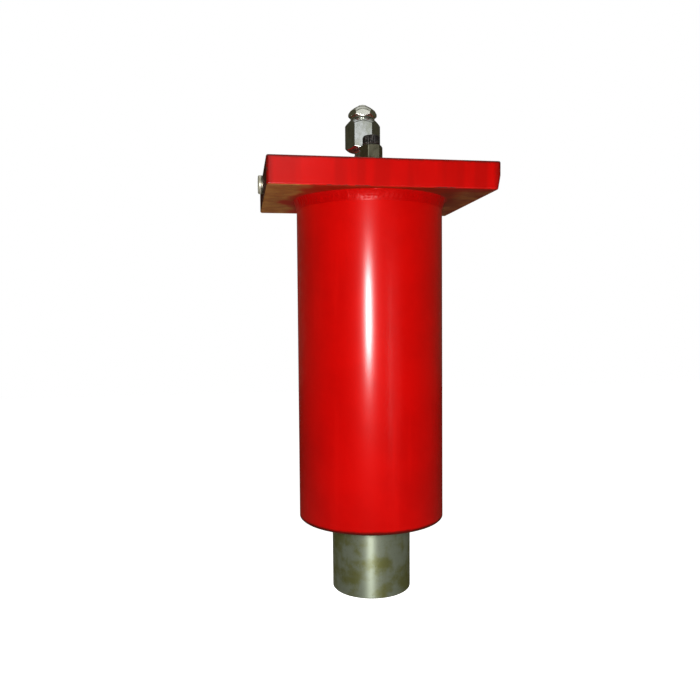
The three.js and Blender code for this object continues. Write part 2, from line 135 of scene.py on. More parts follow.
SCREW_HEAD_R = corners("bleed_screw")[1].x - BLEED_AT.x
TAPPED_X, TAPPED_Y = 82, 59
TAPPED_HOLES = [(sx * TAPPED_X, sy * TAPPED_Y) for sx in (-1, 1) for sy in (-1, 1)]
TAP_DRILL_R, TAPPED_DEPTH, TAPPED_PITCH = 5.15, 18, 1.75  # for M12 screws
LOCK_SCREW_R, LOCK_HOLE_R, LOCK_HOLE_DEPTH = 3.9, 4.3, 13  # for an M8 grub screw

# ---------- mesh tools


def rounded(points, radius=0.3, closed=True, arc_steps=4, support=0.7, step=None):
    """A profile with each corner turned into an arc, and a support point on each side of it so
    that smooth shading stays flat between corners. A point may name its own radius."""
    made = []
    count = len(points)
    for i, point in enumerate(points):
        here = Vector(point[:2])
        wanted = point[2] if len(point) > 2 else radius
        if wanted == 0 or (not closed and i in (0, count - 1)):
            made.append(here)
            continue
        back = Vector(points[i - 1][:2]) - here
        ahead = Vector(points[(i + 1) % count][:2]) - here
        opening = back.angle(ahead)
        if opening > radians(176):
            made.append(here)
            continue
        reach = min(wanted / tan(opening / 2), 0.45 * back.length, 0.45 * ahead.length)
        size = reach * tan(opening / 2)
        bisector = (back.normalized() + ahead.normalized()).normalized()
        centre = here + bisector * (size / sin(opening / 2))
        start = here + back.normalized() * reach - centre
        turn = pi - opening
        sign = 1 if back.x * ahead.y - back.y * ahead.x < 0 else -1
        if back.length > 2 * (reach + support):
            made.append(here + back.normalized() * (reach + support))
        for k in range(arc_steps + 1):
            angle = sign * turn * k / arc_steps
            spun = Matrix.Rotation(angle, 2) @ start
            made.append(centre + spun)
        if ahead.length > 2 * (reach + support):
            made.append(here + ahead.normalized() * (reach + support))
    if not step:
        return made
    fine = []
    spans = zip(made, made[1:] + made[:1]) if closed else zip(made, made[1:])
    for a, b in spans:
        parts = max(1, ceil((b - a).length / step))
        fine += [a.lerp(b, k / parts) for k in range(parts)]
    return fine if closed else fine + [made[-1]]


def even_columns(count):
    return [2 * pi * i / count for i in range(count)]


def hex_columns(turn):
    """Angles round a hexagon, closest together at its corners."""
    steps = [0, 0.5, 1, 1.6, 2.4, 3.5, 5, 7.5, 11, 15, 20, 25]
    offsets = steps + [30] + [60 - s for s in reversed(steps[1:])]
    return [
        radians(turn + 30 + 60 * side + offset) for side in range(6) for offset in offsets
    ]


def placed(name, data):
    thing = bpy.data.objects.new(name, data)
    bpy.context.scene.collection.objects.link(thing)
    return thing


def mesh_object(name, verts, faces, where=None, sharp=40):
    """An object from vertices in millimetres, with its normals outwards and smooth shading."""
    where = where or Matrix.Identity(4)
    mesh = bpy.data.meshes.new(name)
    mesh.from_pydata([(where @ Vector(v)) * MM for v in verts], [], faces)
    bm = bmesh.new()
    bm.from_mesh(mesh)
    bmesh.ops.recalc_face_normals(bm, faces=bm.faces)
    bm.to_mesh(mesh)
    bm.free()
    mesh.polygons.foreach_set("use_smooth", [True] * len(mesh.polygons))
    mesh.set_sharp_from_angle(angle=radians(sharp))
    return placed(name, mesh)


def turned(name, profile, columns=128, warp=None, where=None, sharp=40):
    """A profile of (radius, z) spun about Z. One that starts and ends on the axis is a solid, any
    other is closed on itself. warp(r, z, angle) moves a point of the turned shape."""
    angles = even_columns(columns) if isinstance(columns, int) else columns
    verts, rings = [], []
    for r, z in profile:
        first = len(verts)
        if r < 1e-6:
            verts.append((0, 0, z))
            rings.append([first] * len(angles))
            continue
        for angle in angles:
            pr, pz = warp(r, z, angle) if warp else (r, z)
            verts.append((pr * cos(angle), pr * sin(angle), pz))
        rings.append(list(range(first, len(verts))))
    solid = profile[0][0] < 1e-6 and profile[-1][0] < 1e-6
    pairs = list(zip(rings, rings[1:] + ([] if solid else rings[:1])))
    faces = []
    for low, high in pairs:
        for i in range(len(angles)):
            j = (i + 1) % len(angles)
            face = list(dict.fromkeys((low[i], low[j], high[j], high[i])))
            if len(face) > 2:
                faces.append(face)
    return mesh_object(name, verts, faces, where, sharp)


def circle(r, z, radius, sides):
    """A wire's section, centred on (r, z)."""
    return [(r + radius * cos(a), z + radius * sin(a)) for a in even_columns(sides)]


def swung(section, angle, at=(0, 0)):
    """A section of (radius, z) points, swung to an angle about an upright axis."""
    x, y = cos(angle), sin(angle)
    return [(at[0] + r * x, at[1] + r * y, z) for r, z in section]


def lofted(name, outlines):
    """A solid skinned over a row of closed outlines, which all have as many points."""
    size = len(outlines[0])
    verts = [point for outline in outlines for point in outline]
    last = len(verts) - size
    faces = [tuple(range(size)), tuple(range(last, len(verts)))]
    for first in range(0, last, size):
        for k in range(size):
            a, b = first + k, first + (k + 1) % size
            faces.append((a, b, b + size, a + size))
    return mesh_object(name, verts, faces)


def smooth_min(a, b, blend):
    overlap = max(blend - abs(a - b), 0) / blend
    return min(a, b) - overlap * overlap * blend / 4


def hex_limit(flats, turn, angle, blend=0.5):
    """Distance from the axis to a hexagon's side at an angle, its corners slightly rounded."""
    local = (angle - radians(turn) + pi / 6) % (pi / 3) - pi / 6
    near = flats / 2 / cos(local)
    other = flats / 2 / cos(pi / 3 - abs(local))
    return smooth_min(near, other, blend)


def hexagonal(flats, turn):
    return lambda r, z, angle: (smooth_min(r, hex_limit(flats, turn, angle), 0.35), z)


def hex_socket(flats, within, above):
    """A warp that makes a hexagon of a screw's socket: what is nearer the axis and higher up."""

    def warp(r, z, angle):
        inner = r < within and z > above
        return (min(r, hex_limit(flats, 0, angle, 0.1)) if inner else r), z

    return warp


def baked(piece):
    """The piece with its modifiers applied."""
    graph = bpy.context.evaluated_depsgraph_get()
    mesh = bpy.data.meshes.new_from_object(piece.evaluated_get(graph))
    piece.modifiers.clear()
    piece.data = mesh
    return piece


def carved(piece, cutters, sharp=35):
    """The piece with each cutter taken out of it. The cutters are used up."""
    for cutter in cutters:
        tool = piece.modifiers.new("cut", "BOOLEAN")
        tool.operation = "DIFFERENCE"
        tool.solver = "EXACT"
        tool.object = cutter
    baked(piece)
    for cutter in cutters:
        bpy.data.objects.remove(cutter)
    piece.data.polygons.foreach_set("use_smooth", [True] * len(piece.data.polygons))
    piece.data.set_sharp_from_angle(angle=radians(sharp))
    flatten = piece.modifiers.new("flat faces stay flat", "WEIGHTED_NORMAL")
    flatten.keep_sharp = True
    flatten.weight = 90
    return piece


def box_cutter(low, high, bevel, where):
    """A box with its edges rounded, to be taken out of a piece."""
    (x0, y0, z0), (x1, y1, z1) = low, high
    verts = [(x, y, z) for x in (x0, x1) for y in (y0, y1) for z in (z0, z1)]
    faces = [(0, 1, 3, 2), (4, 6, 7, 5), (0, 4, 5, 1), (2, 3, 7, 6), (0, 2, 6, 4), (1, 5, 7, 3)]
    piece = mesh_object("cut", verts, faces, where)
    edge = piece.modifiers.new("round", "BEVEL")
    edge.width = bevel * MM
    edge.segments = 2
    return baked(piece)


def thread(r_root, r_crest, z0, z1, pitch):
    """Thread-like ridges as profile points, from z0 towards z1."""
    turns = max(1, int(abs(z1 - z0) / pitch))
    step = (z1 - z0) / turns
    points = []
    for i in range(turns):
        z = z0 + step * i
        points += [(r_root, z + 0.1 * step, 0.1), (r_crest, z + 0.5 * step, 0.1)]
    return points + [(r_root, z1 - 0.02 * step, 0.1)]


def groove(mouth_r, floor_r, start_z, end_z):
    """The four corners of a square groove, as profile points."""
    return [(mouth_r, start_z), (floor_r, start_z), (floor_r, end_z), (mouth_r, end_z)]


def shifted(points, dr, dz):
    return [(p[0] + dr, p[1] + dz, *p[2:]) for p in points]


def dressed(piece, node, look):
    """Gives a piece its material and puts it in the place of a CAD node."""
    piece.data.materials.clear()
    piece.data.materials.append(LOOKS[look])
    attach(piece, BODY_OF[node])
    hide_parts(node)
    return piece


def fine(node):
    return node + "_fine"


def spun(node, look, profile, radius=0.25, closed=True, step=None, **how):
    """A turned piece in a CAD node's place. how is what turned takes after the outline."""
    outline = rounded(profile, radius, closed, step=step)
    dressed(turned(fine(node), outline, **how), node, look)


# ---------- materials


class Look:
    """A Principled material, and short ways to add the nodes that drive it."""

    def __init__(self, name, **settings):
        self.material = bpy.data.materials.new(name)
        self.material.use_nodes = True
        self.tree = self.material.node_tree
        self.shader = self.tree.nodes["Principled BSDF"]
        for socket, value in settings.items():
            self.shader.inputs[socket.replace("_", " ")].default_value = value
        self.position = self.node("ShaderNodeTexCoord").outputs["Object"]

    def node(self, kind, sockets=None, **properties):
        made = self.tree.nodes.new(kind)
        for key, value in properties.items():
            setattr(made, key, value)
        for key, value in (sockets or {}).items():
            self.put(made.inputs[key], value)
        return made

    def put(self, socket, value):
        if isinstance(value, bpy.types.NodeSocket):
            self.tree.links.new(value, socket)
        else:
            socket.default_value = value

    def math(self, operation, *values):
        sockets = dict(enumerate(values))
        return self.node("ShaderNodeMath", sockets, operation=operation).outputs[0]

    def times(self, a, b):
        return self.math("MULTIPLY", a, b)

    def plus(self, a, b):
        return self.math("ADD", a, b)

    def minus(self, a, b):
        return self.math("SUBTRACT", a, b)

    def larger(self, a, b):
        return self.math("MAXIMUM", a, b)

    def smaller(self, a, b):
        return self.math("MINIMUM", a, b)

    def split(self, vector=None):
        return self.node("ShaderNodeSeparateXYZ", {0: vector or self.position}).outputs

    def join(self, x, y, z):
        return self.node("ShaderNodeCombineXYZ", {0: x, 1: y, 2: z}).outputs[0]

    def scaled(self, scale):
        sockets = {"Vector": self.position, "Scale": scale}
        return self.node("ShaderNodeMapping", sockets).outputs[0]

    def noise(self, scale, detail, vector=None):
        """Noise with features about 1/scale metres across, from 0 to 1."""
        vector = vector or self.position
        sockets = {"Vector": vector, "Scale": scale, "Detail": detail, "Roughness": 0.55}
        return self.node("ShaderNodeTexNoise", sockets).outputs["Fac"]

    def span(self, value, low, high, to_low=0.0, to_high=1.0):
        sockets = {0: value, 1: low, 2: high, 3: to_low, 4: to_high}
        return self.node("ShaderNodeMapRange", sockets, interpolation_type="SMOOTHSTEP").outputs[0]

    def mix(self, share, a, b):
        made = self.node("ShaderNodeMix", data_type="RGBA")
        for index, value in ((0, share), (6, a), (7, b)):
            if index and not isinstance(value, bpy.types.NodeSocket):
                value = (*value, 1.0)
            self.put(made.inputs[index], value)
        return made.outputs[2]

    def blend(self, share, a, b):
        return self.node("ShaderNodeMix", {0: share, 2: a, 3: b}).outputs[0]

    def bumped(self, *layers):
        """Surface relief from (height, strength, distance in mm) layers."""
        normal = None
        for height, strength, distance in layers:
            sockets = {"Height": height, "Strength": strength, "Distance": distance * MM}
            if normal:
                sockets["Normal"] = normal
            normal = self.node("ShaderNodeBump", sockets).outputs[0]
        self.put(self.shader.inputs["Normal"], normal)

    def use(self, **drivers):
        for socket, value in drivers.items():
            self.put(self.shader.inputs[socket.replace("_", " ")], value)
        return self.material

    def about_axis(self, centre=(0, 0, 0), axis="Z"):
        """(distance from a turning axis, distance along it), both in millimetres."""
        sockets = {0: self.position, 1: Vector(centre) * MM}
        moved = self.node("ShaderNodeVectorMath", sockets, operation="SUBTRACT").outputs[0]
        parts = dict(zip("XYZ", self.split(moved)))
        along = parts.pop(axis)
        across = list(parts.values())
        square = [self.times(part, part) for part in across]
        radius = self.math("SQRT", self.plus(*square))
        return self.times(radius, 1 / MM), self.times(along, 1 / MM)

    def bearing(self):
        """The angle about the Z axis."""
        x, y, _ = self.split()
        return self.math("ARCTAN2", y, x)

    def tool_marks(self, radius, along, per_mm):
        """Lines left by turning: rings on an end face, hoops on a side."""
        flat = self.join(self.times(radius, per_mm), self.times(along, per_mm), 0.0)
        return self.noise(1.0, 2, flat)


PAINT = dict(
    Metallic=0.0,
    Specular_IOR_Level=0.8,
    Specular_Tint=(1.0, 0.03, 0.02, 1.0),
    Coat_Weight=0.7,
    Coat_Roughness=0.2,
)
RED_DEEP = (0.60, 0.0004, 0.0003)
RED_MAIN = (0.68, 0.0006, 0.0004)
RED_PALE = (0.76, 0.003, 0.002)
RED_BAND = (0.46, 0.001, 0.0005)  # the plate's darker upright bands
RED_WELD_SHADE = (0.42, 0.0004, 0.0003)  # painted shade: the weld bead darker, as in the plate's shadow
# Painted shade at the plate's upright corners
RED_CORNER_SHADE = (0.20, 0.002, 0.001)
RED_MIST = (0.36, 0.006, 0.002)  # overspray on the underside
RED_DRIFT = (0.30, 0.006, 0.002)
RUBBED_EDGE = (0.09, 0.006, 0.004)
# Painted shade: the dark band round the barrel's lower rim
RIM_SHADE = (0.055, 0.004, 0.002)
STEEL_DARK = (0.040, 0.030, 0.022)
STEEL_BORED = (0.18, 0.17, 0.15)
MILL_BROWN = (0.32, 0.125, 0.028)
MILL_PALE = (0.44, 0.225, 0.055)
MILL_DARKER = (0.15, 0.022, 0.005)
# Painted shade and bare scale: the plate's two end faces, near black with rust-brown patches
END_SHADE = (0.030, 0.014, 0.006)
END_SHADE_RUST = (0.16, 0.012, 0.006)
BARE_ROUGHNESS = 0.62
TOOL_LINE = (0.02, 0.02, 0.018)
STEEL_SPECK = (0.05, 0.045, 0.03)
OXIDE_BLACK = (0.060, 0.055, 0.055)
OXIDE_RUBBED = (0.19, 0.18, 0.17)


def paint_layers(look, streak_scale=(70, 70, 9)):
    """The enamel's colour, roughness and relief layers: soft patches, runs and orange peel."""
    patches = look.noise(16, 4)
    runs = look.noise(1.0, 3, look.scaled(streak_scale))
    dust = look.noise(1500, 1)
    tone = look.mix(look.span(patches, 0.36, 0.66), RED_DEEP, RED_MAIN)
    tone = look.mix(look.span(runs, 0.56, 0.74, 0.0, 0.45), tone, RED_PALE)
    tone = look.mix(look.span(dust, 0.70, 0.80, 0.0, 0.35), tone, RED_PALE)
    rough = look.blend(look.span(look.noise(60, 4), 0.3, 0.7), 0.46, 0.56)
    relief = [
        (look.noise(420, 2), 0.22, 0.10),
        (runs, 0.30, 0.25),
        (look.span(dust, 0.70, 0.80), 0.25, 0.08),
    ]
    return tone, rough, relief


def beyond_plate(look):
    """How far a point is beyond the plate along X, Y and Z, in metres and below zero inside."""
    found = []
    middle, half = PLATE_MIDDLE * MM, PLATE_HALF * MM
    for i, part in enumerate(look.split()):
        away = look.math("ABSOLUTE", look.minus(part, middle[i]))
        found.append(look.minus(away, half[i]))
    return found


def edge_wear_and_shade(look, over, tone):
    """Upright bands, painted shade at the upright corners, a rubbed upper edge and chips. Gives the
    tone and the chips.
    """
    low_pair = look.smaller(over[0], over[1])
    high_pair = look.larger(over[0], over[1])
    nearest_edge = look.larger(low_pair, look.smaller(high_pair, over[2]))
    ragged = look.math("MULTIPLY_ADD", look.noise(260, 4), 0.0022, -0.0011)
    worn = look.plus(nearest_edge, ragged)
    rare = look.span(look.noise(38, 2), 0.54, 0.62)
    chipped = look.times(look.span(worn, -0.0011, -0.0005), rare)
    upper = look.span(look.split()[2], PLATE_MIDDLE.z * MM, TOP_Z * MM)
    rubbed = look.times(look.span(worn, -0.0030, -0.0008), upper)
    rubbed = look.times(rubbed, look.span(look.noise(22, 3), 0.35, 0.6, 0.45, 0.95))
    # Painted shade: up to three quarters darker red within 7.5 mm of the plate's upright corners.
    corner = look.span(look.plus(low_pair, ragged), -0.0075, -0.0012, 0.0, 0.75)
    bands = look.span(look.noise(1.0, 2, look.scaled((55, 55, 5))), 0.42, 0.60, 0.1, 0.7)
    tone = look.mix(bands, tone, RED_BAND)
    tone = look.mix(corner, tone, RED_CORNER_SHADE)
    tone = look.mix(rubbed, tone, RUBBED_EDGE)
    return look.mix(chipped, tone, STEEL_DARK), chipped


def underside_tone(look, radius, grime):
    """Brown mill scale, darker in patches over its right half, under a red mist that leaves the two
    ends clear.
    """
    x, y, _ = look.split()
    spray_reach = look.math("MULTIPLY_ADD", look.noise(26, 3), 50, 54)
    sprayed = look.span(look.minus(spray_reach, radius), -6, 5)
    across = look.plus(look.math("ABSOLUTE", x), look.times(look.noise(34, 3), 0.03))
    sprayed = look.larger(sprayed, look.span(across, 0.080, 0.092, 1.0, 0.0))
    tone = look.mix(look.span(grime, 0.35, 0.68), MILL_BROWN, MILL_PALE)
    tone = look.mix(look.span(look.noise(420, 3), 0.60, 0.72, 0.0, 0.6), tone, STEEL_DARK)
    tone = look.mix(look.times(sprayed, 0.88), tone, RED_MIST)
    # Darker patches over the right half of the underside.
    darker_patches = look.span(look.noise(45, 4), 0.38, 0.60, 0.55, 1.0)
    tone = look.mix(look.times(look.span(x, 0.0, 0.06, 0.0, 0.9), darker_patches), tone, MILL_DARKER)
    front = look.plus(y, look.times(look.noise(50, 4), 0.03))
    drift = look.times(look.span(front, -0.060, -0.046, 0.8, 0.0), look.span(x, 0.03, 0.06))
    return look.mix(drift, tone, RED_DRIFT)


def plate_paint():
    """Enamel worn at the plate's edges, with painted shade at its upright corners, its two ends painted
    near black as shade and bare scale, and its underside left bare.
    """
    look = Look("plate_paint", **PAINT)
    tone, rough, relief = paint_layers(look)
    over = beyond_plate(look)
    tone, chipped = edge_wear_and_shade(look, over, tone)
    x, _, z = look.split()

    # Painted shade and bare scale: both end faces near black, in rust-brown patches, without coat.
    leaning = look.span(x, (PLATE_HIGH.x - 2.75) * MM, (PLATE_HIGH.x - 2.35) * MM)
    end = look.larger(look.span(over[0], -0.0012, -0.0002), leaning)
    end = look.times(end, look.span(over[1], -0.0030, -0.0015, 1.0, 0.0))
    rust = look.span(look.noise(120, 4), 0.52, 0.72, 0.0, 0.5)
    tone = look.mix(end, tone, look.mix(rust, END_SHADE, END_SHADE_RUST))

    radius, _ = look.about_axis()
    facing_down = look.span(z, (UNDER_Z + 0.25) * MM, (UNDER_Z + 0.7) * MM, 1.0, 0.0)
    bare = look.times(facing_down, look.span(radius, BARREL_R + 2, BARREL_R + 6))
    grime = look.noise(75, 5)
    tone = look.mix(bare, tone, underside_tone(look, radius, grime))

    rough = look.blend(look.larger(chipped, end), rough, BARE_ROUGHNESS)
    rough = look.blend(bare, rough, BARE_ROUGHNESS)
    relief.append((look.minus(1.0, chipped), 0.6, 0.15))
    relief.append((look.times(bare, grime), 0.5, 0.2))
    look.bumped(*relief)
    coat = look.blend(look.larger(bare, end), PAINT["Coat_Weight"], 0.0)
    return look.use(Base_Color=tone, Roughness=rough, Coat_Weight=coat)


def barrel_paint():
    """Enamel on the tube: painted shade as a dark band round its lower rim, and none inside."""
    look = Look("barrel_paint", **PAINT)
    tone, rough, relief = paint_layers(look, (55, 55, 5))
    radius, along = look.about_axis()
    # Painted shade: a dark band round the lower end of the tube, its upper edge wavering.
    low = BARREL_LOW.z
    wander = look.times(look.noise(90, 3), 2.2)
    rim = look.span(look.minus(along, wander), low + 0.5, low + 3.2, 0.95, 0.0)
    tone = look.mix(rim, tone, RIM_SHADE)
    inside = look.span(radius, BARREL_BORE_R + 3.2, BARREL_BORE_R + 4.6, 1.0, 0.0)
    tone = look.mix(inside, tone, STEEL_BORED)
    scuffs = look.span(look.noise(1.0, 4, look.scaled((30, 30, 160))), 0.66, 0.74, 0.0, 0.5)
    tone = look.mix(look.times(scuffs, 0.4), tone, RED_DEEP)
    rough = look.blend(scuffs, rough, 0.5)
    look.bumped(*relief)
    return look.use(Base_Color=tone, Roughness=rough)


def weld_paint():
    """The same enamel, with painted shade: the whole bead darker red, in spatter patches."""
    look = Look("weld_paint", **{**PAINT, "Coat_Weight": 0.15, "Coat_Roughness": 0.3})
    tone, rough, relief = paint_layers(look)
    spatter = look.noise(650, 3)
    # Painted shade: 55 to 95 per cent of the bead turns darker red, varied by spatter noise.
    tone = look.mix(look.span(spatter, 0.50, 0.70, 0.55, 0.95), tone, RED_WELD_SHADE)
    relief.append((spatter, 0.4, 0.25))
    look.bumped(*relief)
    return look.use(Base_Color=tone, Roughness=rough)


def turned_metal(
    name, tone, stain, roughness, centre=(0, 0, 0), axis="Z", marks=2.2, depth=0.02, zones=(), metal=1.0
):
    """Machined metal with tool lines about its axis, smears of oil and a little staining. A zone is
    (from, to, colour, share): along the axis the colour comes in between the two distances."""
    look = Look(name, Metallic=metal)
    radius, along = look.about_axis(centre, axis)
    lines = look.tool_marks(radius, along, marks)
    smears = look.noise(1.0, 4, look.scaled((180, 180, 120)))
    spots = look.noise(900, 3)
    colour = look.mix(look.span(smears, 0.38, 0.72), tone, stain)
    colour = look.mix(look.span(spots, 0.62, 0.76, 0.0, 0.5), colour, stain)
    colour = look.mix(look.span(lines, 0.3, 0.75, 0.0, 0.18), colour, TOOL_LINE)
    for begin, end, shade, share in zones:
        colour = look.mix(look.span(along, begin, end, 0.0, share), colour, shade)
    rough = look.blend(look.span(smears, 0.3, 0.7), roughness - 0.05, roughness + 0.1)
    look.bumped((lines, 0.5, depth), (spots, 0.2, 0.02))
    return look.use(Base_Color=colour, Roughness=rough)


def ground_steel(name, tone, stain, roughness, metal, worn=0.35):
    """A ground rod: hoop lines, lengthwise scratches from its seals, handling stains."""
    look = Look(name, Metallic=metal, Anisotropic=0.75, Anisotropic_Rotation=0.25)
    look.put(
        look.shader.inputs["Tangent"],
        look.node("ShaderNodeTangent", direction_type="RADIAL", axis="Z").outputs[0],
    )
    radius, along = look.about_axis()
    lines = look.tool_marks(radius, along, 3.4)
    unrolled = look.join(look.times(look.bearing(), 55), look.times(look.split()[2], 22), 0.0)
    scratches = look.noise(1.0, 3, unrolled)
    clouds = look.noise(48, 5)
    specks = look.noise(700, 3)
    colour = look.mix(look.span(clouds, 0.40, 0.66), tone, stain)
    colour = look.mix(look.span(specks, 0.60, 0.74, 0.0, worn), colour, STEEL_SPECK)
    colour = look.mix(look.span(scratches, 0.62, 0.75, 0.0, 0.35), colour, stain)
    rough = look.blend(look.span(clouds, 0.35, 0.65), roughness - 0.04, roughness + 0.08)
    look.bumped((lines, 0.25, 0.01), (scratches, 0.15, 0.02), (specks, 0.15, 0.02))
    return look.use(Base_Color=colour, Roughness=rough)


def moulded(name, tone, dusty, roughness, weave=0.0):
    """Rubber, polyurethane or laminate: matt, with a fine grain and a bloom of dust."""
    look = Look(name, Metallic=0.0, Specular_IOR_Level=0.4)
    grain = look.noise(2600, 2)
    bloom = look.noise(160, 4)
    colour = look.mix(look.span(bloom, 0.42, 0.75, 0.0, 0.6), tone, dusty)
    layers = [(grain, 0.3, 0.03), (bloom, 0.2, 0.1)]
    if weave:
        warp = look.math("SINE", look.times(look.bearing(), 160))
        weft = look.math("SINE", look.times(look.split()[2], 6000))
        cloth = look.times(warp, weft)
        colour = look.mix(look.span(cloth, -0.4, 0.6, 0.0, weave), colour, dusty)
        layers.append((cloth, 0.3, 0.05))
    look.bumped(*layers)
    rough = look.blend(bloom, roughness - 0.05, roughness + 0.12)
    return look.use(Base_Color=colour, Roughness=rough)


def black_oxide(name, centre, axis="Z"):
    """Blackened steel, rubbed paler in places."""
    look = Look(name, Metallic=0.85)
    radius, along = look.about_axis(centre, axis)
    lines = look.tool_marks(radius, along, 2.5)
    rub = look.noise(420, 4)
    colour = look.mix(look.span(rub, 0.42, 0.72), OXIDE_BLACK, OXIDE_RUBBED)
    look.bumped((lines, 0.4, 0.02), (rub, 0.25, 0.03))
    return look.use(Base_Color=colour, Roughness=look.blend(rub, 0.26, 0.44))


COUPLER_FOOT = (*COUPLER_AT, TOP_Z)
BLEED_FOOT = (*BLEED_AT, TOP_Z)
LOCK_SCREW_AT = (0, BARREL_R, LOCK_SCREW_Z)
NICKEL = dict(tone=(0.78, 0.82, 0.82), stain=(0.50, 0.53, 0.46), roughness=0.24)
ZINC = dict(tone=(0.42, 0.42, 0.38), stain=(0.24, 0.22, 0.16), roughness=0.38)
# Overspray and a painted reflection of the red plate, on the fittings' lower ends
OVERSPRAY_AND_REFLECTION = (9.0, 1.0, (0.34, 0.03, 0.02), 0.75)  # red near the plate, fading upwards
COLLAR_SHINE = (57.0, 58.0, (0.95, 0.97, 0.86), 0.85)
FITTING_MARKS = dict(marks=3.0, depth=0.012)
LOOKS = {
    "coupler": turned_metal(
        "coupler_nickel", **NICKEL, centre=COUPLER_FOOT, **FITTING_MARKS,
        zones=(OVERSPRAY_AND_REFLECTION, COLLAR_SHINE),
    ),
    "coupler_zinc": turned_metal("coupler_washer_zinc", **ZINC, centre=COUPLER_FOOT),
    "bleed": turned_metal(
        "bleed_nickel", (0.48, 0.48, 0.35), (0.26, 0.25, 0.16), 0.32, BLEED_FOOT, **FITTING_MARKS,
        zones=(OVERSPRAY_AND_REFLECTION,),
    ),
    "bleed_zinc": turned_metal("bleed_washer_zinc", **ZINC, centre=BLEED_FOOT),
    "bleed_black": black_oxide("bleed_screw_oxide", BLEED_FOOT),
    "lock_black": black_oxide("lock_screw_oxide", LOCK_SCREW_AT, "Y"),
    "side": turned_metal(
        "side_plug_zinc", (0.80, 0.77, 0.62), (0.62, 0.58, 0.42), 0.42, SIDE_PORT, "X", metal=0.45
    ),
    "side_washer": turned_metal(
        "side_washer_zinc", (0.55, 0.52, 0.42), (0.30, 0.27, 0.18), 0.4, SIDE_PORT, "X"
    ),
    "ram": ground_steel("ram_steel", (0.42, 0.47, 0.36), (0.27, 0.28, 0.10), 0.5, metal=0.7),
    "stage": ground_steel(
        "stage_chrome", (0.56, 0.57, 0.54), (0.42, 0.43, 0.37), 0.36, metal=0.6, worn=0.2
    ),
    "gland": turned_metal(
        "gland_steel", (0.36, 0.35, 0.32), (0.19, 0.17, 0.13), 0.38, marks=1.6, metal=0.7
    ),
    "bronze": turned_metal("bearing_bronze", (0.62, 0.36, 0.14), (0.34, 0.18, 0.06), 0.36),
    "spring": turned_metal("spring_steel", (0.20, 0.21, 0.22), (0.10, 0.10, 0.10), 0.36, marks=5.0),
    "nitrile": moulded("nitrile", (0.012, 0.012, 0.012), (0.045, 0.043, 0.04), 0.52),
    "polyurethane": moulded("polyurethane", (0.02, 0.075, 0.26), (0.06, 0.12, 0.28), 0.42),
    "phenolic": moulded("phenolic", (0.22, 0.10, 0.035), (0.34, 0.19, 0.08), 0.5, weave=0.5),
    "plate": plate_paint(),
    "barrel": barrel_paint(),
    "weld": weld_paint(),
}

# ---------- flange plate, weld and barrel


def turned_cutter(profile, columns, where=None):
    """A turned shape with almost sharp corners, to be taken out of a piece."""
    return turned("cut", rounded(profile, 0.02, closed=False, arc_steps=1), columns, where=where)


def hole_cutter(radius, depth, chamfer, where, chamfer_depth=None, pitch=None, tip=0.0):
    """A cutter for a blind hole whose mouth is at z = 0 of its own frame, drilled towards -Z."""
    wall_top = -(chamfer_depth or chamfer)
    wall = [(radius, wall_top)]
    if pitch:
        wall = thread(radius, radius + 0.75, -depth * 0.88, wall_top, pitch)
    wide = radius + chamfer
    profile = [(0, -depth - tip), (radius, -depth), *wall, (wide, 0), (wide, 2), (0, 2)]
    return turned_cutter(profile, 48, where)


def plate_blank():
    """The plate before it is drilled: round corners in plan, rounded rims and a leaning end."""
    thick = TOP_Z - UNDER_Z
    nominal = PLATE_HIGH.x - END_LEAN[1]
    rim_steps, corner_steps = 5, 8
    quarter = [pi / 2 * k / rim_steps for k in range(rim_steps + 1)]
    rim = [(PLATE_RIM_R * (1 - cos(a)), PLATE_RIM_R * (1 - sin(a))) for a in quarter]
    sides = [(PLATE_RIM_R + 0.7 * k, 0.0) for k in range(1, 20)]  # past half way, where it bends
    levels = rim + sides + [(thick - height, inset) for height, inset in reversed(rim)]
    outlines = []
    for height, inset in levels:
        lean = min(height / (thick / 2), 1.0)
        right = nominal + END_LEAN[0] * (1 - lean) + END_LEAN[1] * lean - PLATE_CORNER_R
        left = SIDE_FACE_X + PLATE_CORNER_R
        side = PLATE_HIGH.y - PLATE_CORNER_R
        radius = PLATE_CORNER_R - inset
        outline = []
        for corner, x, y in ((-1, right, -side), (0, right, side), (1, left, side), (2, left, -side)):
            for k in range(corner_steps + 1):
                angle = pi / 2 * (corner + k / corner_steps)
                out_x, out_y = radius * cos(angle), radius * sin(angle)
                outline.append((x + out_x, y + out_y, UNDER_Z + height))
        outlines.append(outline)
    return lofted(fine("flange_plate"), outlines)


def outwards_from(x, y, z, axis):
    """The frame of a hole in the plate's left side or the barrel's back, +Z out of the metal."""
    return Matrix.Translation((x, y, z)) @ Matrix.Rotation(-pi / 2, 4, axis)


